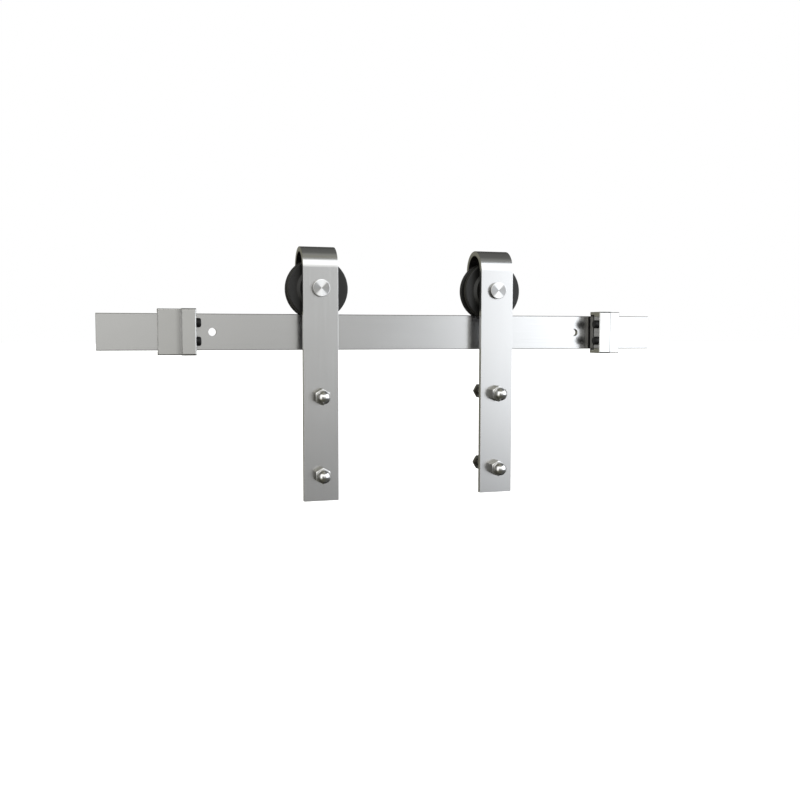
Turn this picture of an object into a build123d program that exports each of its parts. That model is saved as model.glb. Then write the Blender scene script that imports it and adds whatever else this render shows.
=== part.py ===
from build123d import *
import math
import os

# Sliding barn door hardware: a flat rail, two strap hangers with grooved rollers and two
# adjustable end stops.
# Millimetres, +X along the rail to the right, +Y into the wall, +Z up.
# Origin: centre of the two wall-bolt holes, on the back face of the rail.

# ---------------------------------------------------------------- driving dimensions
# rail
rail_h = 40.0                # height of the flat bar
rail_t = 6.0                 # thickness of the flat bar
rail_x0 = -340.5             # left end
rail_x1 = 321.8              # right end
rail_edge_c = 0.7           # broken edge
wall_hole_r = 4.5            # holes for the wall bolts
wall_hole_span = 438.0       # hole to hole

# hanger straps
hanger_x = {"left": -102.7, "right": 107.5}
strap_w = 39.6
strap_t = 6.0
strap_depth = 48.0           # outside to outside of the U, which is also its bend diameter
strap_mid_y = -rail_t / 2    # the U is centred on the rail
strap_top = 95.6
strap_bottom = -188.9
strap_back_end = 26.0        # the short back leg ends just above the rail
strap_edge_r = 0.4

# axle, roller and its ball bearing
axle_z = 48.5
axle_r = 5.0
axle_head_r = 9.5
axle_head_h = 5.0
axle_head_ch = 0.5
axle_tail = 7.0              # length past the back leg
axle_nut_h = 6.0
wheel_r = 34.4               # over the flanges
tread_gap = 0.3              # the tread runs this far above the rail
wheel_half = 10.25           # half width over the flanges
hub_half = 12.75             # half width over the raised hub
hub_r = 21.0
hub_cone_r = 24.2
hub_mouth_r = 13.2
groove_half = 4.0            # half width of the groove at its floor
groove_half_out = 5.1        # half width of the groove at the flange tips
bearing_or = 15.0
bearing_half = 4.5
ball_r = 2.38
ball_pitch_r = 10.0
ball_count = 8
inner_race_or = 8.2
outer_race_ir = 11.6
shield_seat = 3.8            # from the bearing's middle
shield_t = 0.4
spacer_r = 7.0
spacer_seat = 0.3            # the front spacer's seat in the long leg

# door bolts and acorn nuts
door_bolt_z = (-71.5, -159.4)
door_bolt_r = 5.0
door_hole_r = 5.3
door_gap = 40.0              # thickness of the door that the strap and bolts hold
bolt_head_h = 6.4
hex_af = 16.0
acorn_hex_h = 9.6
acorn_dome_r = 7.3
acorn_dome_c = 13.3          # height of the dome's centre
acorn_bore_h = 15.0

# end stops
stop_in_x = {"left": -238.3, "right": 239.2}    # the faces that carry the bumpers
stop_block_len = 15.0        # the block that stands in front
stop_thin_len = 24.0         # the clamp's length beyond the block
stop_overhang = 7.0          # the block reaches this far past the clamp
stop_h = 50.0
stop_arm_t = 3.7             # wall of the clamp channel and of the block's arms
stop_front_y = -32.5         # front of the block
stop_thin_y = -11.0          # front of the clamp channel
stop_lip_y = -8.7            # back of the overhanging part of the block
stop_floor_y = -7.3          # floor of the channel that takes the rail
core_front_y = -15.9         # front of the core in the block's rear pocket
core_seat_t = 1.6            # rubber strip above and below the core
core_base_t = 2.6            # rubber strip in front of the core
block_edge_c = 1.4           # chamfers: top and bottom front edges of the block,
clamp_edge_c = 0.8           # of the clamp channel,
stop_upright_c = 0.8         # and the upright front edges of both
liner_gap = 0.3              # between the liner and the rail
liner_leg_t = 1.0
bumper_r = 5.0
bumper_len = 5.3
bumper_round = 1.9
bumper_y = -26.6
bumper_dz = 9.9
bumper_stem_r = 3.0
bumper_stem_len = 9.0
screw_r = 2.5
screw_socket_af = 2.5
screw_len = 4.4

# ---------------------------------------------------------------- derived dimensions
strap_front_y = strap_mid_y - strap_depth / 2       # front face of the long leg
strap_inner_y = strap_front_y + strap_t             # face that the door rests on
strap_back_y = strap_mid_y + strap_depth / 2        # rear face of the short leg
bend_r = strap_depth / 2
bend_z = strap_top - bend_r
tread_r = axle_z - rail_h / 2 - tread_gap
bolt_head_y = strap_inner_y + door_gap              # inner face of the bolt heads
hex_e = hex_af / math.cos(math.pi / 6) / 2          # hexagon corner radius
rail_mid_y = -rail_t / 2

os.makedirs("parts", exist_ok=True)

# ---------------------------------------------------------------- rail
with BuildPart() as rail:
    with BuildSketch(Plane.YZ.offset(rail_x0)):
        with Locations((-rail_t / 2, 0)):
            Rectangle(rail_t, rail_h)
    extrude(amount=rail_x1 - rail_x0)
    chamfer(rail.edges().filter_by(Axis.X), rail_edge_c)
    chamfer(rail.faces().filter_by(Axis.X).edges(), 0.3)
    with BuildSketch(Plane.XZ.offset(rail_t + 1)):
        with Locations((-wall_hole_span / 2, 0), (wall_hole_span / 2, 0)):
            Circle(wall_hole_r)
    extrude(amount=-(rail_t + 2), mode=Mode.SUBTRACT)
rail.part.label = "rail"
export_step(rail.part, "parts/rail.step")

# ---------------------------------------------------------------- hangers
for side, x in hanger_x.items():
    axle = Axis((x, 0, axle_z), (0, 1, 0))
    mid = Plane.YZ.offset(x)                        # the hanger's own middle plane

    # strap: a flat bar bent into a hook over the roller
    with BuildPart() as strap:
        with BuildSketch(Plane.YZ.offset(x - strap_w / 2)):
            with BuildLine():
                Line((strap_front_y, strap_bottom), (strap_front_y, bend_z))
                ThreePointArc((strap_front_y, bend_z), (strap_mid_y, strap_top), (strap_back_y, bend_z))
                Line((strap_back_y, bend_z), (strap_back_y, strap_back_end))
                Line((strap_back_y, strap_back_end), (strap_back_y - strap_t, strap_back_end))
                Line((strap_back_y - strap_t, strap_back_end), (strap_back_y - strap_t, bend_z))
                ThreePointArc((strap_back_y - strap_t, bend_z), (strap_mid_y, strap_top - strap_t),
                              (strap_inner_y, bend_z))
                Line((strap_inner_y, bend_z), (strap_inner_y, strap_bottom))
                Line((strap_inner_y, strap_bottom), (strap_front_y, strap_bottom))
            make_face()
        extrude(amount=strap_w)
        fillet(strap.faces().filter_by(Axis.X).edges(), strap_edge_r)
        # axle hole through both legs
        with BuildSketch(Plane.XZ.offset(-strap_front_y + 1)):
            with Locations((x, axle_z)):
                Circle(axle_r + 0.1)
        extrude(amount=-(strap_depth + 2), mode=Mode.SUBTRACT)
        # shallow seat that centres the front spacer
        with BuildSketch(Plane.XZ.offset(-strap_inner_y)):
            with Locations((x, axle_z)):
                Circle(spacer_r + 0.1)
        extrude(amount=spacer_seat, mode=Mode.SUBTRACT)
        # door-bolt holes in the long leg
        with BuildSketch(Plane.XZ.offset(-strap_front_y + 1)):
            with Locations(*[(x, z) for z in door_bolt_z]):
                Circle(door_hole_r)
        extrude(amount=-(strap_t + 2), mode=Mode.SUBTRACT)
    strap.part.label = side + "_strap"
    export_step(strap.part, f"parts/{side}_strap.step")

    # axle bolt: flat round head with a broken edge, plain shank, threaded tail
    with BuildPart() as axle_bolt:
        with BuildSketch(mid):
            with BuildLine():
                head_y = strap_front_y - axle_head_h
                tail_y = strap_back_y + axle_tail
                Polyline((head_y, axle_z),
                         (head_y, axle_z + axle_head_r - axle_head_ch),
                         (head_y + axle_head_ch, axle_z + axle_head_r),
                         (strap_front_y, axle_z + axle_head_r),
                         (strap_front_y, axle_z + axle_r),
                         (tail_y - 1, axle_z + axle_r),
                         (tail_y, axle_z + axle_r - 1),
                         (tail_y, axle_z),
                         close=True)
            make_face()
        revolve(axis=axle)
    axle_bolt.part.label = side + "_axle_bolt"
    export_step(axle_bolt.part, f"parts/{side}_axle_bolt.step")

    # axle nut on the back leg
    with BuildPart() as axle_nut:
        with BuildSketch(Plane.XZ.offset(-strap_back_y)):
            with Locations((x, axle_z)):
                RegularPolygon(hex_e, 6, rotation=30)
                Circle(axle_r + 0.05, mode=Mode.SUBTRACT)
        extrude(amount=-axle_nut_h)
        with BuildSketch(mid):
            with BuildLine():
                Polyline((strap_back_y + axle_nut_h, axle_z + hex_af / 2 - 0.3),
                         (strap_back_y + axle_nut_h, axle_z + hex_af),
                         (strap_back_y + axle_nut_h - 4.5, axle_z + hex_af),
                         close=True)
            make_face()
        revolve(axis=axle, mode=Mode.SUBTRACT)
    axle_nut.part.label = side + "_axle_nut"
    export_step(axle_nut.part, f"parts/{side}_axle_nut.step")

    # spacer bushes from the bearing's inner race to each leg of the strap
    with BuildPart() as spacers:
        with BuildSketch(mid):
            with BuildLine():
                Polyline((strap_inner_y - spacer_seat, axle_z + axle_r + 0.05),
                         (strap_inner_y - spacer_seat, axle_z + spacer_r),
                         (strap_mid_y - bearing_half, axle_z + spacer_r),
                         (strap_mid_y - bearing_half, axle_z + axle_r + 0.05), close=True)
            make_face()
            with BuildLine():
                Polyline((strap_back_y - strap_t, axle_z + axle_r + 0.05),
                         (strap_back_y - strap_t, axle_z + spacer_r),
                         (strap_mid_y + bearing_half, axle_z + spacer_r),
                         (strap_mid_y + bearing_half, axle_z + axle_r + 0.05), close=True)
            make_face()
        revolve(axis=axle)
    spacers.part.label = side + "_axle_spacers"
    export_step(spacers.part, f"parts/{side}_axle_spacers.step")

    # bearing inner race, with the ball track turned into it
    with BuildPart() as inner_race:
        with BuildSketch(mid):
            with Locations((strap_mid_y, axle_z + (axle_r + 0.03 + inner_race_or) / 2)):
                Rectangle(2 * bearing_half, inner_race_or - axle_r - 0.03)
            with Locations((strap_mid_y, axle_z + ball_pitch_r)):
                Circle(ball_r + 0.32, mode=Mode.SUBTRACT)
        revolve(axis=axle)
    inner_race.part.label = side + "_bearing_inner_race"
    export_step(inner_race.part, f"parts/{side}_bearing_inner_race.step")

    # bearing outer race, with the ball track and two shield seats
    with BuildPart() as outer_race:
        with BuildSketch(mid):
            with Locations((strap_mid_y, axle_z + (outer_race_ir + bearing_or) / 2)):
                Rectangle(2 * bearing_half, bearing_or - outer_race_ir)
            with Locations((strap_mid_y, axle_z + ball_pitch_r)):
                Circle(ball_r + 0.02, mode=Mode.SUBTRACT)
            with Locations((strap_mid_y - (shield_seat + bearing_half) / 2, axle_z + outer_race_ir),
                           (strap_mid_y + (shield_seat + bearing_half) / 2, axle_z + outer_race_ir)):
                Rectangle(bearing_half - shield_seat, 1.6, mode=Mode.SUBTRACT)
        revolve(axis=axle)
    outer_race.part.label = side + "_bearing_outer_race"
    export_step(outer_race.part, f"parts/{side}_bearing_outer_race.step")

    # bearing balls
    with BuildPart() as balls:
        with Locations(Plane(origin=(x, strap_mid_y, axle_z), z_dir=(0, 1, 0))):
            with PolarLocations(ball_pitch_r, ball_count):
                Sphere(ball_r)
    balls.part.label = side + "_bearing_balls"
    export_step(balls.part, f"parts/{side}_bearing_balls.step")

    # ball cage: a ring with one round pocket for each ball
    with BuildPart() as cage:
        with BuildSketch(mid):
            with Locations((strap_mid_y, axle_z + ball_pitch_r)):
                Rectangle(6.2, 1.5)
        revolve(axis=axle)
        with Locations(Plane(origin=(x, strap_mid_y, axle_z), z_dir=(0, 1, 0))):
            with PolarLocations(ball_pitch_r, ball_count):
                Cylinder(ball_r + 0.1, 4, rotation=(0, 90, 0), mode=Mode.SUBTRACT)
    cage.part.label = side + "_bearing_cage"
    export_step(cage.part, f"parts/{side}_bearing_cage.step")

    # bearing shields, one in each face of the outer race
    with BuildPart() as shields:
        with BuildSketch(mid):
            with Locations((strap_mid_y - shield_seat - shield_t / 2, axle_z + 10.4),
                           (strap_mid_y + shield_seat + shield_t / 2, axle_z + 10.4)):
                Rectangle(shield_t, 3.8)
        revolve(axis=axle)
    shields.part.label = side + "_bearing_shields"
    export_step(shields.part, f"parts/{side}_bearing_shields.step")

    # roller: moulded over the bearing, grooved to straddle the rail, with a raised hub each side
    with BuildPart() as wheel:
        with BuildSketch(mid) as profile:
            with BuildLine():
                right = [(bearing_half, bearing_or), (bearing_half, hub_mouth_r), (hub_half, hub_mouth_r),
                         (hub_half, hub_r), (wheel_half, hub_cone_r), (wheel_half, wheel_r),
                         (groove_half_out, wheel_r), (groove_half, tread_r)]
                pts = [(strap_mid_y + a, axle_z + b) for a, b in right]
                pts += [(strap_mid_y - a, axle_z + b) for a, b in reversed(right)]
                Polyline(*pts, close=True)
            make_face()
            rim = profile.vertices().group_by(Axis.Y)[-1].sort_by(Axis.X)
            fillet([rim[0], rim[-1]], 1.5)
            fillet([v for v in profile.vertices()
                    if abs(v.Y - axle_z - wheel_r) < 0.01 and abs(abs(v.X - strap_mid_y) - groove_half_out) < 0.01], 1.0)
            fillet([v for v in profile.vertices()
                    if abs(v.Y - axle_z - hub_r) < 0.01 and abs(abs(v.X - strap_mid_y) - hub_half) < 0.01], 0.6)
        revolve(axis=axle)
    wheel.part.label = side + "_wheel"
    export_step(wheel.part, f"parts/{side}_wheel.step")

    # door bolts: hexagon heads behind the door, shanks forward through the strap
    with BuildPart() as door_bolts:
        with BuildSketch(Plane.XZ.offset(-bolt_head_y)):
            with Locations(*[(x, z) for z in door_bolt_z]):
                RegularPolygon(hex_e, 6)
        extrude(amount=-bolt_head_h)
        for z in door_bolt_z:
            bolt_axis = Axis((x, 0, z), (0, 1, 0))
            tip_y = strap_front_y - acorn_bore_h + 1
            with BuildSketch(mid):
                with BuildLine():
                    Polyline((bolt_head_y + 0.5, z), (bolt_head_y + 0.5, z + door_bolt_r),
                             (tip_y + 1, z + door_bolt_r), (tip_y, z + door_bolt_r - 1), (tip_y, z), close=True)
                make_face()
            revolve(axis=bolt_axis)
            with BuildSketch(mid):
                with BuildLine():
                    Polyline((bolt_head_y + bolt_head_h, z + hex_af / 2 - 0.3),
                             (bolt_head_y + bolt_head_h, z + hex_af),
                             (bolt_head_y + bolt_head_h - 4.5, z + hex_af), close=True)
                make_face()
            revolve(axis=bolt_axis, mode=Mode.SUBTRACT)
    door_bolts.part.label = side + "_door_bolts"
    export_step(door_bolts.part, f"parts/{side}_door_bolts.step")

    # acorn nuts: short hexagon, collar and dome, with a blind bore
    with BuildPart() as acorn_nuts:
        with BuildSketch(Plane.XZ.offset(-strap_front_y)):
            with Locations(*[(x, z) for z in door_bolt_z]):
                RegularPolygon(hex_e, 6, rotation=30)
        extrude(amount=acorn_hex_h)
        for z in door_bolt_z:
            nut_axis = Axis((x, 0, z), (0, 1, 0))
            face_y = strap_front_y - acorn_hex_h
            with BuildSketch(mid):
                with BuildLine():
                    Polyline((face_y, z + hex_af / 2 - 0.4), (face_y, z + hex_af), (face_y + 4.6, z + hex_af), close=True)
                make_face()
            revolve(axis=nut_axis, mode=Mode.SUBTRACT)
            dome_y = strap_front_y - acorn_dome_c
            with BuildSketch(mid):
                with BuildLine():
                    Line((face_y + 0.5, z), (dome_y - acorn_dome_r, z))
                    ThreePointArc((dome_y - acorn_dome_r, z),
                                  (dome_y - acorn_dome_r * math.cos(math.pi / 4), z + acorn_dome_r * math.sin(math.pi / 4)),
                                  (dome_y, z + acorn_dome_r))
                    Line((dome_y, z + acorn_dome_r), (face_y + 0.5, z + acorn_dome_r))
                    Line((face_y + 0.5, z + acorn_dome_r), (face_y + 0.5, z))
                make_face()
            revolve(axis=nut_axis)
        with BuildSketch(Plane.XZ.offset(-strap_front_y)):
            with Locations(*[(x, z) for z in door_bolt_z]):
                Circle(door_bolt_r + 0.05)
        extrude(amount=acorn_bore_h, mode=Mode.SUBTRACT)
    acorn_nuts.part.label = side + "_acorn_nuts"
    export_step(acorn_nuts.part, f"parts/{side}_acorn_nuts.step")

# ---------------------------------------------------------------- end stops
for side, x_in in stop_in_x.items():
    s = -1 if side == "left" else 1                 # the way out along the rail
    x_clamp = x_in + s * stop_overhang
    x_step = x_in + s * stop_block_len
    x_out = x_step + s * stop_thin_len
    screw_x = ((x_clamp + x_step) / 2, (x_step + x_out) / 2)
    channel = stop_h / 2 - stop_arm_t               # half height of the channel
    inner_z = rail_h / 2 + liner_gap                # half height inside the liner
    pocket_y = core_front_y - core_base_t           # bottom of the block's rear pocket

    # stop body: a clamp channel that hooks over the rail, and a block in front that overhangs it
    with BuildPart() as stop:
        with BuildSketch(Plane.YZ.offset(min(x_clamp, x_out))):
            with Locations((stop_thin_y / 2, 0)):
                Rectangle(-stop_thin_y, stop_h)
        extrude(amount=abs(x_out - x_clamp))
        with BuildSketch(Plane.YZ.offset(min(x_in, x_step))):
            with Locations(((stop_front_y + stop_thin_y) / 2, 0)):
                Rectangle(stop_thin_y - stop_front_y, stop_h)
        extrude(amount=stop_block_len)
        with BuildSketch(Plane.YZ.offset(min(x_in, x_clamp))):
            with Locations(((stop_front_y + stop_lip_y) / 2, 0)):
                Rectangle(stop_lip_y - stop_front_y, stop_h)
        extrude(amount=stop_overhang)

        def front_edges(y):
            return stop.edges().filter_by(lambda e: abs(e.center().Y - y) < 0.01
                                          and (y == stop_front_y or s * (e.center().X - x_step) > 0.5))

        chamfer(front_edges(stop_front_y).filter_by(Axis.X), block_edge_c)
        chamfer(front_edges(stop_thin_y).filter_by(Axis.X), clamp_edge_c)
        chamfer((front_edges(stop_front_y) + front_edges(stop_thin_y)).filter_by(Axis.Z), stop_upright_c)
        with BuildSketch(Plane.YZ.offset(min(x_in, x_out) - 1)):
            with Locations((stop_floor_y / 2 + 1, 0)):
                Rectangle(-stop_floor_y + 2, 2 * channel)
        extrude(amount=abs(x_out - x_in) + 2, mode=Mode.SUBTRACT)
        # rear pocket of the overhanging block
        with BuildSketch(Plane.YZ.offset(min(x_in, x_clamp))):
            with Locations(((pocket_y + stop_lip_y + 1) / 2, 0)):
                Rectangle(stop_lip_y + 1 - pocket_y, 2 * channel)
        extrude(amount=stop_overhang, mode=Mode.SUBTRACT)
        # blind holes for the bumper stems
        with BuildSketch(Plane.YZ.offset(x_in)):
            with Locations((bumper_y, bumper_dz), (bumper_y, -bumper_dz)):
                Circle(bumper_stem_r + 0.05)
        extrude(amount=s * (bumper_stem_len + 0.5), mode=Mode.SUBTRACT)
        # tapped holes for the set screws, in both arms
        with BuildSketch(Plane.XY.offset(-stop_h / 2 - 1)):
            with Locations(*[(sx, rail_mid_y) for sx in screw_x]):
                Circle(screw_r + 0.05)
        extrude(amount=stop_h + 2, mode=Mode.SUBTRACT)
    stop.part.label = side + "_stop_body"
    export_step(stop.part, f"parts/{side}_stop_body.step")

    # core block in the rear pocket, and the rubber strip that it is pressed over
    with BuildPart() as core:
        with BuildSketch(Plane.YZ.offset(min(x_in + s * 0.2, x_clamp))):
            with Locations(((core_front_y + stop_lip_y - 0.2) / 2, 0)):
                Rectangle(stop_lip_y - 0.2 - core_front_y, 2 * (channel - core_seat_t))
        extrude(amount=stop_overhang - 0.2)
    core.part.label = side + "_stop_core"
    export_step(core.part, f"parts/{side}_stop_core.step")

    with BuildPart() as seat:
        with BuildSketch(Plane.YZ.offset(min(x_in + s * 0.1, x_clamp))):
            with Locations(((pocket_y + stop_lip_y - 0.4) / 2, 0)):
                Rectangle(stop_lip_y - 0.4 - pocket_y, 2 * channel)
            with Locations(((core_front_y + stop_lip_y) / 2, 0)):
                Rectangle(stop_lip_y - core_front_y, 2 * (channel - core_seat_t), mode=Mode.SUBTRACT)
        extrude(amount=stop_overhang - 0.1)
    seat.part.label = side + "_stop_core_seat"
    export_step(seat.part, f"parts/{side}_stop_core_seat.step")

    # rubber liner in the channel
    with BuildPart() as liner:
        with BuildSketch(Plane.YZ.offset(min(x_clamp, x_out) + 0.5)):
            with Locations((stop_floor_y / 2, 0)):
                Rectangle(-stop_floor_y, 2 * channel)
            with Locations(((-rail_t - liner_gap) / 2 + 1, 0)):
                Rectangle(rail_t + liner_gap + 2, 2 * inner_z, mode=Mode.SUBTRACT)
        extrude(amount=abs(x_out - x_clamp) - 1)
        with BuildSketch(Plane.XY.offset(-stop_h / 2)):
            with Locations(*[(sx, rail_mid_y) for sx in screw_x]):
                Circle(screw_r + 0.3)
        extrude(amount=stop_h, mode=Mode.SUBTRACT)
    liner.part.label = side + "_stop_liner"
    export_step(liner.part, f"parts/{side}_stop_liner.step")

    # set screws with hexagon sockets, two in each arm
    with BuildPart() as screws:
        for up in (-1, 1):
            tip = up * (rail_h / 2 + 0.35)
            for sx in screw_x:
                with BuildSketch(Plane.XZ.offset(-rail_mid_y)):
                    with BuildLine():
                        Polyline((sx, tip + up * 0.5), (sx + screw_r - 1.3, tip), (sx + screw_r - 0.6, tip),
                                 (sx + screw_r, tip + up * 0.6), (sx + screw_r, tip + up * (screw_len - 0.3)),
                                 (sx + screw_r - 0.3, tip + up * screw_len), (sx, tip + up * screw_len), close=True)
                    make_face()
                revolve(axis=Axis((sx, rail_mid_y, 0), (0, 0, 1)))
            with BuildSketch(Plane.XY.offset(tip + up * screw_len)):
                with Locations(*[(sx, rail_mid_y) for sx in screw_x]):
                    RegularPolygon(screw_socket_af / math.cos(math.pi / 6) / 2, 6)
            extrude(amount=-up * 2.2, mode=Mode.SUBTRACT)
    screws.part.label = side + "_stop_screws"
    export_step(screws.part, f"parts/{side}_stop_screws.step")

    # rubber bumpers: round buffers with stems pushed into the block
    with BuildPart() as bumpers:
        for z in (bumper_dz, -bumper_dz):
            with BuildSketch(Plane.XZ.offset(-bumper_y)) as buffer:
                with BuildLine():
                    Polyline((x_in - s * bumper_len, z), (x_in - s * bumper_len, z + bumper_r),
                             (x_in, z + bumper_r), (x_in, z + bumper_stem_r),
                             (x_in + s * (bumper_stem_len - 0.5), z + bumper_stem_r),
                             (x_in + s * bumper_stem_len, z + bumper_stem_r - 0.5),
                             (x_in + s * bumper_stem_len, z), close=True)
                make_face()
                fillet([v for v in buffer.vertices()
                        if abs(v.X - (x_in - s * bumper_len)) < 0.01 and abs(v.Y - z - bumper_r) < 0.01], bumper_round)
            revolve(axis=Axis((x_in, bumper_y, z), (1, 0, 0)))
    bumpers.part.label = side + "_bumpers"
    export_step(bumpers.part, f"parts/{side}_bumpers.step")
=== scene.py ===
import math

import bmesh
import bpy
from mathutils import Matrix, Vector


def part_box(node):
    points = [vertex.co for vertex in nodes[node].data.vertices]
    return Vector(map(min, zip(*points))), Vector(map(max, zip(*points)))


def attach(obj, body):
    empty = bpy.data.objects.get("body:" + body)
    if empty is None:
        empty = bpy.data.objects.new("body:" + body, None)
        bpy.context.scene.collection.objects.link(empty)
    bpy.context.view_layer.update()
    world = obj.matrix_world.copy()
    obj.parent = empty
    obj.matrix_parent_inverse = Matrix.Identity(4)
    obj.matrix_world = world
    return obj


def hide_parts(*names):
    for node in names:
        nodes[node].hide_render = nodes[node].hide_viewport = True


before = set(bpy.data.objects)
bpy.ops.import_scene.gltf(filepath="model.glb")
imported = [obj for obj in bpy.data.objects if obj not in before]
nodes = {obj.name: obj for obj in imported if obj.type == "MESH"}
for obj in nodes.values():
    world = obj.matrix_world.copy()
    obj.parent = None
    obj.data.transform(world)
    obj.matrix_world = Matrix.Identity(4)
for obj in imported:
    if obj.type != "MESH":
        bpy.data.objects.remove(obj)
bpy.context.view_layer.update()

scene = bpy.context.scene
SIDES = ("left", "right")


# ---------------------------------------------------------------- shader helpers
class Tree:
    """A few short names for building a node tree."""

    def __init__(self, tree):
        self.nodes, self.links = tree.nodes, tree.links
        self.nodes.clear()

    def add(self, kind, **settings):
        node = self.nodes.new(kind)
        for key, value in settings.items():
            setattr(node, key, value)
        return node

    def put(self, socket, value):
        if value is None:
            return
        if isinstance(value, bpy.types.NodeSocket):
            self.links.new(value, socket)
        else:
            socket.default_value = value

    def math(self, op, a, b=None, c=None, clamp=False):
        node = self.add("ShaderNodeMath", operation=op, use_clamp=clamp)
        for socket, value in zip(node.inputs, (a, b, c)):
            self.put(socket, value)
        return node.outputs[0]

    def vmath(self, op, a, b=None, out=0):
        node = self.add("ShaderNodeVectorMath", operation=op)
        self.put(node.inputs[0], a)
        self.put(node.inputs[1], b)
        return node.outputs[out]

    def span(self, value, a, b, lo=0.0, hi=1.0, how="SMOOTHSTEP"):
        """value from a to b becomes lo to hi, and stays there outside."""
        node = self.add("ShaderNodeMapRange", interpolation_type=how, clamp=True)
        for socket, v in zip(node.inputs, (value, a, b, lo, hi)):
            self.put(socket, v)
        return node.outputs[0]

    def noise(self, vector, scale, detail=2.0, roughness=0.5, distortion=0.0):
        node = self.add("ShaderNodeTexNoise")
        self.put(node.inputs["Vector"], vector)
        for key, v in (("Scale", scale), ("Detail", detail), ("Roughness", roughness), ("Distortion", distortion)):
            node.inputs[key].default_value = v
        return node.outputs["Fac"]

    def voronoi(self, vector, scale, feature="F1", out="Distance"):
        node = self.add("ShaderNodeTexVoronoi", feature=feature)
        self.put(node.inputs["Vector"], vector)
        node.inputs["Scale"].default_value = scale
        return node.outputs[out]

    def mix(self, fac, a, b, kind="RGBA", blend="MIX"):
        node = self.add("ShaderNodeMix", data_type=kind, clamp_factor=True)
        if kind == "RGBA":
            node.blend_type = blend
            base = 6
        else:
            base = 2 if kind == "FLOAT" else 4
        self.put(node.inputs[0], fac)
        self.put(node.inputs[base], a)
        self.put(node.inputs[base + 1], b)
        return node.outputs[{"FLOAT": 0, "VECTOR": 1, "RGBA": 2}[kind]]

    def bump(self, height, distance, strength=1.0, normal=None):
        node = self.add("ShaderNodeBump")
        node.inputs["Strength"].default_value = strength
        node.inputs["Distance"].default_value = distance
        self.put(node.inputs["Height"], height)
        self.put(node.inputs["Normal"], normal)
        return node.outputs["Normal"]


def grey(v, tint=(1, 1, 1)):
    return (v * tint[0], v * tint[1], v * tint[2], 1.0)


def material(name):
    m = bpy.data.materials.new(name)
    m.use_nodes = True
    t = Tree(m.node_tree)
    out = t.add("ShaderNodeOutputMaterial")
    shader = t.add("ShaderNodeBsdfPrincipled")
    t.links.new(shader.outputs[0], out.inputs["Surface"])
    return m, t, shader


def stretched(t, scale, source=None):
    """Object coordinates, in metres, scaled by a different number along each axis."""
    if source is None:
        source = t.add("ShaderNodeTexCoord").outputs["Object"]
    return t.vmath("MULTIPLY", source, scale)


def brushed(name, along, tone=0.64, tint=(1, 1, 1), roughness=0.32, anisotropy=0.6, depth=3e-6, streak=1.0, bend_shade=None):
    """Brushed steel. along is the axis that the brushing follows on the front face, "X" or "Z".
    The last argument, for a bent strap, is (y and z of the bend's centre, radius of its middle line): what lies within
    that line gets painted shade, a near-black colour standing in for the shade inside the bend, and is rougher."""
    m, t, s = material(name)
    long, fine = (9.0, 2600.0) if along == "X" else (2600.0, 9.0)
    lines = t.noise(stretched(t, (long, 2600.0, fine)), 1.0, 3.0, 0.65)
    bands = t.noise(stretched(t, (long * 0.35 if along == "X" else 330.0, 330.0, 330.0 if along == "X" else long * 0.35)), 1.0, 2.0, 0.5)
    cloud = t.noise(stretched(t, (18.0, 18.0, 18.0)), 1.0, 3.0, 0.55)
    tone_var = t.math("ADD", t.math("MULTIPLY", t.math("SUBTRACT", lines, 0.5), 0.16 * streak),
                      t.math("MULTIPLY", t.math("SUBTRACT", bands, 0.5), 0.10 * streak))
    tone_var = t.math("ADD", tone_var, t.math("MULTIPLY", t.math("SUBTRACT", cloud, 0.5), 0.04))
    lit = t.math("ADD", tone_var, 0.5, clamp=True)
    colour = t.mix(lit, grey(tone * 0.80, tint), grey(tone * 1.20, tint))
    rough = t.math("ADD", t.math("MULTIPLY", t.math("SUBTRACT", lines, 0.5), 0.16), roughness)
    rough = t.math("ADD", rough, t.math("MULTIPLY", t.math("SUBTRACT", cloud, 0.5), 0.05))
    if bend_shade:
        y0, z0, mid = bend_shade
        place = t.add("ShaderNodeSeparateXYZ")
        t.put(place.inputs[0], t.add("ShaderNodeTexCoord").outputs["Object"])
        across = t.math("SUBTRACT", place.outputs[1], y0)
        over_z = t.math("MAXIMUM", t.math("SUBTRACT", place.outputs[2], z0), 0.0)
        reach = t.math("SQRT", t.math("ADD", t.math("MULTIPLY", across, across), t.math("MULTIPLY", over_z, over_z)))
        # painted shade: the inner faces of the bend are mixed towards a near-black colour and made rougher, standing in
        # for the shade inside the U
        bend_shade_mask = t.math("MULTIPLY", t.span(reach, mid - 0.0018, mid - 0.0024), t.span(place.outputs[2], 0.02, 0.03))
        colour = t.mix(bend_shade_mask, colour, grey(0.16, (1.0, 0.98, 0.92)))
        rough = t.math("ADD", rough, t.math("MULTIPLY", bend_shade_mask, 0.2))
    t.put(s.inputs["Base Color"], colour)
    s.inputs["Metallic"].default_value = 1.0
    t.put(s.inputs["Roughness"], rough)
    s.inputs["Anisotropic"].default_value = anisotropy
    # the sheen spreads across the brushing, which is along N x X for a piece brushed along Z
    normal = t.add("ShaderNodeNewGeometry").outputs["Normal"]
    if along == "Z":
        t.put(s.inputs["Tangent"], t.vmath("ADD", t.add("ShaderNodeCombineXYZ").outputs[0], (1.0, 0.0, 0.0)))
    else:
        across = t.vmath("CROSS_PRODUCT", normal, (1.0, 0.0, 0.0))
        t.put(s.inputs["Tangent"], t.vmath("ADD", across, (0.0, 0.0, 0.001)))
    t.put(s.inputs["Normal"], t.bump(lines, depth))
    return m


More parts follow.
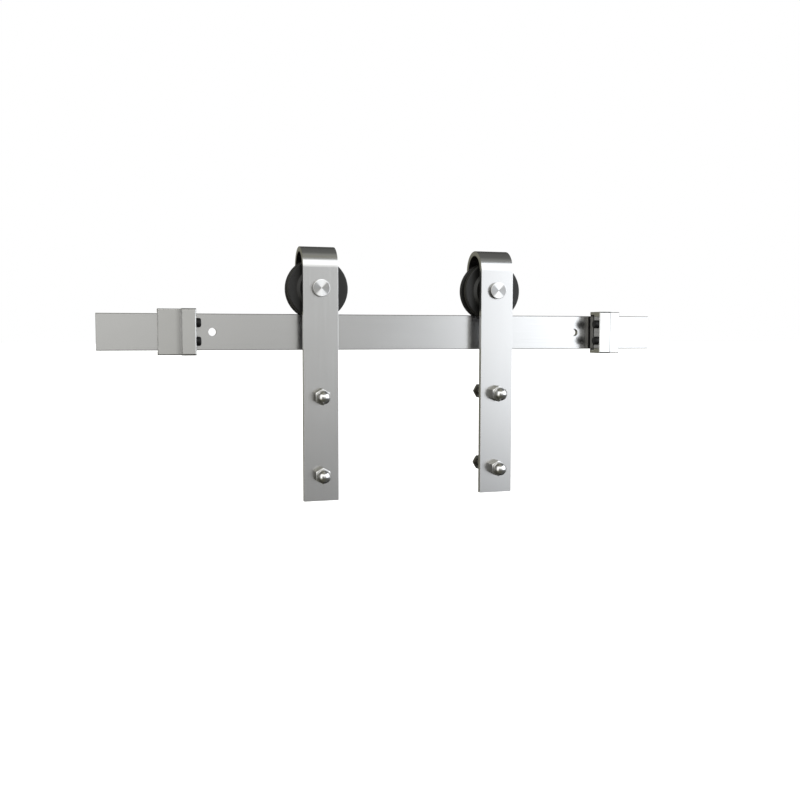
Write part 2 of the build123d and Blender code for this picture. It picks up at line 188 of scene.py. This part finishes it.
def satin(name, tone=0.62, tint=(1, 1, 1), roughness=0.36, grain=1400.0, depth=4e-6, worn=0.0, step=None):
    """Fine blasted or tumbled metal, the same in every direction. worn rounds the look of the edges.
    step is how far from the middle, along X, a stop's block ends: past it the left stop gets painted shade, strongest
    in the corner by the block, and the right stop's block edge gets a painted shade line."""
    m, t, s = material(name)
    coords = t.add("ShaderNodeTexCoord").outputs["Object"]
    fine = t.noise(coords, grain, 2.0, 0.6)
    cloud = t.noise(coords, 55.0, 3.0, 0.6)
    var = t.math("ADD", t.math("MULTIPLY", t.math("SUBTRACT", fine, 0.5), 0.35), t.math("MULTIPLY", t.math("SUBTRACT", cloud, 0.5), 0.22))
    colour = t.mix(t.math("ADD", var, 0.5, clamp=True), grey(tone * 0.88, tint), grey(tone * 1.12, tint))
    if step:
        place = t.add("ShaderNodeSeparateXYZ")
        t.put(place.inputs[0], coords)
        past = t.math("MULTIPLY", place.outputs[0], -1.0)
        # painted shade: near-black mixed in past the block's end on the left stop, most in the corner by the block, and
        # as a line along the front of the right stop's block edge
        corner = t.math("MULTIPLY", t.span(past, step - 0.0008, step - 0.0004), t.span(past, step + 0.006, step - 0.0006, 0.06, 0.30))
        edge = t.math("MULTIPLY", t.span(place.outputs[0], step - 0.0012, step - 0.0006), t.span(place.outputs[1], -0.0296, -0.0304))
        corner = t.math("MAXIMUM", corner, t.math("MULTIPLY", edge, 0.7))
        colour = t.mix(corner, colour, grey(0.02))
    t.put(s.inputs["Base Color"], colour)
    s.inputs["Metallic"].default_value = 1.0
    t.put(s.inputs["Roughness"], t.math("ADD", t.math("MULTIPLY", t.math("SUBTRACT", fine, 0.5), 0.12), roughness))
    edge = None
    if worn:
        bevel = t.add("ShaderNodeBevel", samples=6)
        bevel.inputs["Radius"].default_value = worn
        edge = bevel.outputs[0]
    t.put(s.inputs["Normal"], t.bump(fine, depth, normal=edge))
    return m


def turned(name, roughness=0.34, anisotropy=0.9):
    """Lathe-turned metal: rings round the Y axis through the object's own middle, with a painted highlight in two
    sectors above and below the middle, a painted highlight on the bevel and painted shade on the side."""
    m, t, s = material(name)
    tangent = t.add("ShaderNodeTangent", direction_type="RADIAL", axis="Y")
    coords = t.add("ShaderNodeTexCoord")
    centred = t.vmath("SUBTRACT", coords.outputs["Generated"], (0.5, 0.0, 0.5))
    flat = t.vmath("MULTIPLY", centred, (1.0, 0.0, 1.0))
    radius = t.vmath("LENGTH", flat, out=1)
    ring_vec = t.add("ShaderNodeCombineXYZ")
    t.put(ring_vec.inputs[0], t.math("MULTIPLY", radius, 150.0))
    rings = t.noise(ring_vec.outputs[0], 1.0, 2.0, 0.6)
    split = t.add("ShaderNodeSeparateXYZ")
    t.put(split.inputs[0], centred)
    angle = t.math("MULTIPLY", t.math("ARCTAN2", split.outputs[2], split.outputs[0]), 180 / math.pi)
    angle = t.math("ADD", angle, t.math("MULTIPLY", t.math("SUBTRACT", rings, 0.5), 5.0))
    # painted highlight: two bright sectors, above and below the middle, the same on every head
    upright = t.math("ABSOLUTE", t.math("SINE", t.math("MULTIPLY", angle, math.pi / 180)))
    face = t.mix(t.span(upright, 0.60, 0.85), grey(0.5), grey(0.95))
    face = t.mix(0.5, face, t.mix(rings, grey(0.88), grey(1.12)), blend="MULTIPLY")
    # painted shade and painted highlight: the sides, away from the front, get a much darker grey, and the bevel a
    # bright grey
    facing = t.add("ShaderNodeSeparateXYZ")
    t.put(facing.inputs[0], coords.outputs["Normal"])
    front = t.span(facing.outputs[1], -0.80, -0.95)
    bevel = t.math("MULTIPLY", t.span(facing.outputs[1], -0.5, -0.62), t.math("SUBTRACT", 1.0, front))
    colour = t.mix(front, grey(0.22, (1.0, 1.0, 0.97)), face)
    t.put(s.inputs["Base Color"], t.mix(bevel, colour, grey(0.85)))
    s.inputs["Metallic"].default_value = 1.0
    t.put(s.inputs["Roughness"], t.math("ADD", t.math("MULTIPLY", t.math("SUBTRACT", rings, 0.5), 0.14), roughness))
    s.inputs["Anisotropic"].default_value = anisotropy
    t.put(s.inputs["Tangent"], tangent.outputs[0])
    s.inputs["Anisotropic Rotation"].default_value = 0.0
    bumped = t.bump(rings, 2e-6)
    lean = t.vmath("NORMALIZE", t.vmath("ADD", t.add("ShaderNodeNewGeometry").outputs["Normal"], (0.0, -2.0, 0.0)))
    turned_to_front = t.add("ShaderNodeMix", data_type="VECTOR")
    t.put(turned_to_front.inputs[0], bevel)
    t.put(turned_to_front.inputs[4], bumped)
    t.put(turned_to_front.inputs[5], lean)
    t.put(s.inputs["Normal"], turned_to_front.outputs[1])
    return m


def polished(name, tone=0.78, roughness=0.13, tint=(1, 1, 1)):
    m, t, s = material(name)
    coords = t.add("ShaderNodeTexCoord").outputs["Object"]
    fine = t.noise(coords, 900.0, 3.0, 0.6)
    smear = t.noise(coords, 160.0, 2.0, 0.5, 0.6)
    t.put(s.inputs["Base Color"], t.mix(smear, grey(tone * 0.94, tint), grey(tone * 1.05, tint)))
    s.inputs["Metallic"].default_value = 1.0
    t.put(s.inputs["Roughness"], t.math("ADD", t.math("MULTIPLY", fine, 0.08), roughness - 0.04))
    t.put(s.inputs["Normal"], t.bump(fine, 8e-7))
    return m


def acorn(name, dome_y, dome=0.80, hexagon=0.50, polish=0.17, grind=0.26):
    """A polished dome on a plain ground hexagon. dome_y is where the dome starts, on the Y axis."""
    m, t, s = material(name)
    coords = t.add("ShaderNodeTexCoord").outputs["Object"]
    split = t.add("ShaderNodeSeparateXYZ")
    t.put(split.inputs[0], coords)
    on_dome = t.span(split.outputs[1], dome_y + 0.0001, dome_y - 0.0003)
    # painted shade: a near-black ring in the groove where the dome starts
    groove_shade = t.math("MULTIPLY", on_dome, t.span(split.outputs[1], dome_y - 0.0016, dome_y - 0.0004))
    fine = t.noise(coords, 1500.0, 3.0, 0.6)
    smear = t.noise(coords, 160.0, 2.0, 0.5, 0.6)
    shiny = t.mix(smear, grey(dome * 0.96), grey(dome * 1.03))
    hexagon_tone_and_highlight = t.mix(fine, grey(hexagon * 0.88, (1.0, 0.995, 0.97)), grey(hexagon * 1.12, (1.0, 0.995, 0.97)))
    # painted highlight: the hexagon's front and the corners cut on it are brighter than its flats
    facing = t.add("ShaderNodeSeparateXYZ")
    t.put(facing.inputs[0], t.add("ShaderNodeTexCoord").outputs["Normal"])
    hexagon_tone_and_highlight = t.mix(t.span(facing.outputs[1], -0.45, -0.75), hexagon_tone_and_highlight, grey(0.76))
    colour = t.mix(on_dome, hexagon_tone_and_highlight, shiny)
    # the painted shade in the groove is mixed in here
    t.put(s.inputs["Base Color"], t.mix(t.math("MULTIPLY", groove_shade, 0.55), colour, grey(0.12)))
    s.inputs["Metallic"].default_value = 1.0
    t.put(s.inputs["Specular Tint"], t.mix(on_dome, grey(0.35, (1.0, 1.0, 0.9)), grey(0.5)))
    t.put(s.inputs["Roughness"], t.math("ADD", t.span(on_dome, 0, 1, grind, polish, "LINEAR"), t.math("MULTIPLY", fine, 0.05)))
    t.put(s.inputs["Normal"], t.bump(fine, 8e-7))
    return m


def plastic(name, tone, tint, roughness, specular=0.5, grain=1800.0, depth=6e-6):
    m, t, s = material(name)
    coords = t.add("ShaderNodeTexCoord").outputs["Object"]
    fine = t.noise(coords, grain, 3.0, 0.6)
    cloud = t.noise(coords, 90.0, 2.0, 0.5)
    t.put(s.inputs["Base Color"], t.mix(cloud, grey(tone * 0.8, tint), grey(tone * 1.2, tint)))
    t.put(s.inputs["Roughness"], t.math("ADD", t.math("MULTIPLY", t.math("SUBTRACT", fine, 0.5), 0.16), roughness))
    s.inputs["Specular IOR Level"].default_value = specular
    t.put(s.inputs["Normal"], t.bump(fine, depth))
    return m


# ---------------------------------------------------------------- finishes
strap_lo, strap_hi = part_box("left_strap")
mats = {
    "rail_steel": brushed("rail_steel", "X", tone=0.70, roughness=0.22, anisotropy=0.3, depth=1e-6, streak=0.6),
    # the strap's bend gets painted shade on its inner faces
    "strap_steel": brushed("strap_steel", "Z", tone=0.71, roughness=0.21, anisotropy=0.4, depth=1e-6,
                           bend_shade=((strap_lo[1] + strap_hi[1]) / 2, strap_hi[2] - 0.024, 0.021)),
    # the stops get painted shade by their blocks, through step
    "stop_steel": satin("stop_steel", tone=0.70, tint=(1.0, 1.0, 0.99), roughness=0.15, depth=1e-6, worn=0.0008, step=0.2538),
    "turned_steel": turned("turned_steel"),
    "polished_steel": acorn("polished_steel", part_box("left_acorn_nuts")[0][1] + 0.0110),
    "bolt_steel": satin("bolt_steel", tone=0.30, tint=(1.0, 0.99, 0.93), roughness=0.28, grain=2200.0),
    "bearing_steel": polished("bearing_steel", tone=0.6, roughness=0.22),
    "roller_nylon": plastic("roller_nylon", 0.013, (1.0, 0.98, 0.92), 0.36, specular=0.5),
    "black_rubber": plastic("black_rubber", 0.009, (1.0, 1.0, 1.0), 0.5, specular=0.3),
}
for node in nodes.values():
    for slot in node.material_slots:
        name = slot.material.name.split(".")[0]
        slot.link = "OBJECT"
        slot.material = mats[name]


# ---------------------------------------------------------------- door bolts with real threads
def threaded_bolt(bm, x, z, y_tip, y_seat, head_h, minor=0.00414, major=0.00497, pitch=0.0015, af=0.016, turn=36, steps=6):
    """A hexagon bolt along Y: chamfered head from y_seat backwards, threaded shank forwards to y_tip."""
    first = bm.verts.new((x, y_tip, z))
    rows = int(round((y_seat - y_tip) / pitch * steps)) + 2 * steps
    wave = (0.0, 0.0, 0.5, 1.0, 1.0, 0.5)

    def point(i, k):
        y = y_tip + (i - steps) / steps * pitch + k / turn * pitch
        r = minor + (major - minor) * wave[i % steps]
        if y - y_tip < 0.0012:
            r = min(r, minor + (y - y_tip) * 0.4)
        if y_seat - y < 0.0020:
            r = major
        y = min(max(y, y_tip), y_seat)
        a = 2 * math.pi * k / turn
        return (x + r * math.cos(a), y, z + r * math.sin(a))

    grid = [[bm.verts.new(point(i, k)) for k in range(turn)] for i in range(rows)]
    for i in range(rows - 1):
        for k in range(turn - 1):
            bm.faces.new((grid[i][k], grid[i][k + 1], grid[i + 1][k + 1], grid[i + 1][k]))
    for i in range(rows - 1 - steps):
        bm.faces.new((grid[i][turn - 1], grid[i + steps][0], grid[i + steps + 1][0], grid[i + 1][turn - 1]))
    # tip
    rim = [grid[0][k] for k in range(turn)]
    for k in range(turn - 1):
        bm.faces.new((rim[k + 1], rim[k], first))
    lead = [grid[i][0] for i in range(steps + 1)]
    for i in range(steps):
        bm.faces.new((lead[i], lead[i + 1], first))
    bm.faces.new((rim[turn - 1], lead[steps], first)[::-1])
    # head: washer face, hexagon and a turned chamfer
    n = 72
    rings = []
    for y, r, lim in ((y_seat, 0.0, 0), (y_seat, af * 0.47, 0), (y_seat + 0.0003, af * 0.47, 0), (y_seat + 0.0003, 1.0, 0),
                      (y_seat + head_h, 1.0, 1), (y_seat + head_h, af / 2 - 0.0004, 0), (y_seat + head_h - 0.0004, af * 0.30, 0),
                      (y_seat + head_h - 0.0004, 0.0, 0)):
        ring = []
        for k in range(n):
            a = 2 * math.pi * k / n
            from_flat = a % (math.pi / 3) - math.pi / 6
            hexagon = af / 2 / math.cos(from_flat)
            rr, yy = min(r, hexagon), y
            if lim:
                yy = y - max(0.0, hexagon - (af / 2 - 0.0004)) * 0.55
            ring.append(bm.verts.new((x + rr * math.cos(a), yy, z + rr * math.sin(a))))
        rings.append(ring)
    for p, q in zip(rings, rings[1:]):
        for k in range(n):
            j = (k + 1) % n
            bm.faces.new((p[k], p[j], q[j], q[k]))


def hexagon_edge(af, k, n):
    """Distance from the axis to a hexagon's side, in direction k of n, with corners above and below."""
    return af / 2 / math.cos((2 * math.pi * k / n + math.pi / 6) % (math.pi / 3) - math.pi / 6)


def acorn_nut(bm, x, z, y_base, y_tip, hex_h=0.0096, af=0.016, dome_r=0.0078, n=96):
    """Acorn nut along -Y: chamfered hexagon, groove, collar and dome."""
    y_front, flat = y_base - hex_h, af / 2 - 0.0003
    profile = [(y_base, 0.0, 0), (y_base, flat, 0), (y_base, 1.0, -1), (y_front, 1.0, 1), (y_front, flat, 0),
               (y_front, dome_r - 0.0005, 0), (y_front - 0.0004, dome_r - 0.0007, 0), (y_front - 0.0009, dome_r - 0.0001, 0)]
    centre = y_tip + dome_r
    profile += [(centre - dome_r * math.sin(a), dome_r * math.cos(a), 0) for a in (math.pi / 40 * i for i in range(21))]
    rings = []
    for y, r, chamfer in profile:
        ring = []
        for k in range(n):
            edge = hexagon_edge(af, k, n)
            a = 2 * math.pi * k / n
            rr = min(r, edge)
            yy = y + chamfer * max(0.0, edge - flat) * 0.6
            ring.append(bm.verts.new((x + rr * math.cos(a), yy, z + rr * math.sin(a))))
        rings.append(ring)
    for p, q in zip(rings, rings[1:]):
        for k in range(n):
            j = (k + 1) % n
            bm.faces.new((p[k], p[j], q[j], q[k]))


def finish_piece(bm, name, slot, body, node, sharp=32):
    bmesh.ops.remove_doubles(bm, verts=bm.verts, dist=2e-6)
    bmesh.ops.dissolve_degenerate(bm, edges=bm.edges, dist=1e-6)
    bmesh.ops.recalc_face_normals(bm, faces=bm.faces)
    mesh = bpy.data.meshes.new(name)
    bm.to_mesh(mesh)
    bm.free()
    ob = bpy.data.objects.new(name, mesh)
    scene.collection.objects.link(ob)
    mesh.materials.append(mats[slot])
    mesh.shade_smooth()
    mesh.set_sharp_from_angle(angle=math.radians(sharp))
    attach(ob, body)
    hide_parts(node)
    return ob


for side in SIDES:
    node = side + "_door_bolts"
    lo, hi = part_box(node)
    head_h = 0.0064
    bm = bmesh.new()
    for z in (hi[2] - 0.008, lo[2] + 0.008):
        threaded_bolt(bm, (lo[0] + hi[0]) / 2, z, lo[1], hi[1] - head_h, head_h)
    finish_piece(bm, side + "_door_bolts_threaded", "bolt_steel", side + "_hanger", node)
    node = side + "_acorn_nuts"
    lo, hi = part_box(node)
    bm = bmesh.new()
    reach = 0.008 / math.cos(math.pi / 6)
    for z in (hi[2] - reach, lo[2] + reach):
        acorn_nut(bm, (lo[0] + hi[0]) / 2, z, hi[1], lo[1])
    finish_piece(bm, side + "_acorn_nuts_turned", "polished_steel", side + "_hanger", node)


# ---------------------------------------------------------------- studio
world = bpy.data.worlds.new("studio")
scene.world = world
world.use_nodes = True
t = Tree(world.node_tree)
xyz = t.add("ShaderNodeSeparateXYZ")
t.put(xyz.inputs[0], t.add("ShaderNodeTexCoord").outputs["Generated"])
az = t.math("MULTIPLY", t.math("ARCTAN2", xyz.outputs[0], t.math("MULTIPLY", xyz.outputs[1], -1.0)), 180 / math.pi)
el = t.math("MULTIPLY", t.math("ARCSINE", xyz.outputs[2]), 180 / math.pi)
# the room: dark below, soft grey at eye level, dim ceiling
room = t.add("ShaderNodeValToRGB")
t.put(room.inputs[0], t.span(el, -90, 90, 0, 1, "LINEAR"))
ramp = room.color_ramp
ROOM = [(-90, .08), (-40, .09), (-20, .15), (-10, .28), (0, .38), (20, .34), (32, .22), (45, .12), (60, .125), (90, .16)]
while len(ramp.elements) < len(ROOM):
    ramp.elements.new(0.5)
for e, (a, v) in zip(ramp.elements, ROOM):
    e.position = (a + 90) / 180
    e.color = grey(v)
# a dimmer patch straight ahead, where the photographer stands
patch = t.math("MULTIPLY", t.span(el, -16, 3), t.span(t.math("ABSOLUTE", az), 75, 35))
base = t.math("ADD", room.outputs[0], t.math("MULTIPLY", patch, 0.17))
glow = t.math("MULTIPLY", t.span(az, 12, -4), t.math("MULTIPLY", t.span(az, -26, -8), t.math("MULTIPLY", t.span(el, -20, -4), t.span(el, 40, 20))))
base = t.math("ADD", base, t.math("MULTIPLY", glow, 0.19))
# and the corners behind are darker, the right one most
corner = t.math("ADD", t.math("MULTIPLY", t.span(az, 104, 118), 0.6), t.math("MULTIPLY", t.span(az, -72, -90), 0.42))
corner = t.math("MULTIPLY", corner, t.span(el, 55, 35))
base = t.math("MULTIPLY", base, t.math("SUBTRACT", 1.0, corner))
# a narrow black flag to the left of the camera
flag = t.math("MULTIPLY", t.span(az, -9, -14), t.span(az, -38, -27))
flag = t.math("MULTIPLY", flag, t.math("MULTIPLY", t.span(el, -30, -15), t.span(el, 40, 20)))
base = t.math("MULTIPLY", base, t.math("SUBTRACT", 1.0, t.math("MULTIPLY", flag, 0.5)))
# three softboxes round the front: a high one across, one to the left and one to the right
high = t.math("MULTIPLY", t.span(el, 7, 19), t.span(el, 46.5, 37))
high = t.math("MULTIPLY", high, t.math("MULTIPLY", t.span(az, -88, -45), t.span(az, 94, 62)))
left = t.math("MULTIPLY", t.span(el, -42, -4), t.span(el, 50, 39))
left = t.math("MULTIPLY", left, t.math("MULTIPLY", t.span(az, -88, -54), t.span(az, -32, -54)))
right = t.math("MULTIPLY", t.span(el, -15.5, 0.5), t.span(el, 47, 36))
right = t.math("MULTIPLY", right, t.math("MULTIPLY", t.span(az, 16.3, 28.2, how="SMOOTHERSTEP"), t.span(az, 100, 80)))


def over(under, mask, value):
    return t.math("ADD", under, t.math("MULTIPLY", mask, t.math("SUBTRACT", value, under)))


level = over(over(over(base, high, 1.6), left, 1.5), right, 2.0)
# and a broad soft one behind on the right, for the rail's back and the door side of the hangers
back = t.math("MULTIPLY", t.span(el, -35, -5), t.span(el, 50, 28))
back = t.math("MULTIPLY", back, t.math("MULTIPLY", t.span(az, 108, 122), t.span(az, 148, 132)))
level = over(level, back, 0.8)
tone = t.mix(t.span(az, 6, 28), (1.0, 0.995, 0.96, 1.0), (0.965, 0.99, 1.02, 1.0))
# the unlit parts of the room, above, below and behind, are a little olive
lit = t.math("MULTIPLY", t.math("MULTIPLY", t.span(el, 58, 42), t.span(el, -34, -14)), t.span(t.math("ABSOLUTE", az), 128, 104))
unlit = t.math("MULTIPLY", t.math("SUBTRACT", 1.0, lit), t.span(az, 40, 12, 0.35, 1.0))
tone = t.mix(unlit, tone, (1.02, 1.0, 0.80, 1.0))
studio = t.add("ShaderNodeBackground")
t.put(studio.inputs["Color"], tone)
t.put(studio.inputs["Strength"], level)
paper = t.add("ShaderNodeBackground")
paper.inputs["Color"].default_value = (1.0, 1.0, 1.0, 1.0)
paper.inputs["Strength"].default_value = 1.0
pick = t.add("ShaderNodeMixShader")
t.put(pick.inputs[0], t.add("ShaderNodeLightPath").outputs["Is Camera Ray"])
t.links.new(studio.outputs[0], pick.inputs[1])
t.links.new(paper.outputs[0], pick.inputs[2])
out = t.add("ShaderNodeOutputWorld")
t.links.new(pick.outputs[0], out.inputs["Surface"])
world.cycles.sampling_method = "MANUAL"
world.cycles.sample_map_resolution = 1024

# floor: a pale sweep well under the hardware
mesh = bpy.data.meshes.new("floor")
mesh.from_pydata([(-30, -30, -0.42), (30, -30, -0.42), (30, 30, -0.42), (-30, 30, -0.42)], [], [(0, 1, 2, 3)])
floor = bpy.data.objects.new("floor", mesh)
scene.collection.objects.link(floor)
m, t, s = material("floor_white")
s.inputs["Base Color"].default_value = (0.9, 0.9, 0.9, 1.0)
s.inputs["Roughness"].default_value = 0.7
s.inputs["Emission Color"].default_value = (1.0, 1.0, 1.0, 1.0)
s.inputs["Emission Strength"].default_value = 1.0
mesh.materials.append(m)
floor.visible_glossy = False
floor.visible_diffuse = False

scene.view_settings.view_transform = "Standard"
scene.view_settings.look = "None"

# ---------------------------------------------------------------- camera
yaw, pitch, roll = 0.2971162, 0.0732100, 0.0018187
fwd = Vector((math.sin(yaw) * math.cos(pitch), math.cos(yaw) * math.cos(pitch), -math.sin(pitch)))
rgt = Vector((math.cos(yaw), -math.sin(yaw), 0.0))
up = rgt.cross(fwd)
r2 = rgt * math.cos(roll) + up * math.sin(roll)
u2 = up * math.cos(roll) - rgt * math.sin(roll)
cam = bpy.data.cameras.new("camera")
cam.sensor_fit = "HORIZONTAL"
cam.sensor_width = 36.0
cam.lens = 36.0 * 942.8594 / 800.0
cam.clip_start, cam.clip_end = 0.01, 100.0
cam_ob = bpy.data.objects.new("camera", cam)
scene.collection.objects.link(cam_ob)
rot = Matrix((r2, u2, -fwd)).transposed().to_4x4()
cam_ob.matrix_world = Matrix.Translation((-0.3252581, -1.0532710, 0.0015622)) @ rot
scene.camera = cam_ob
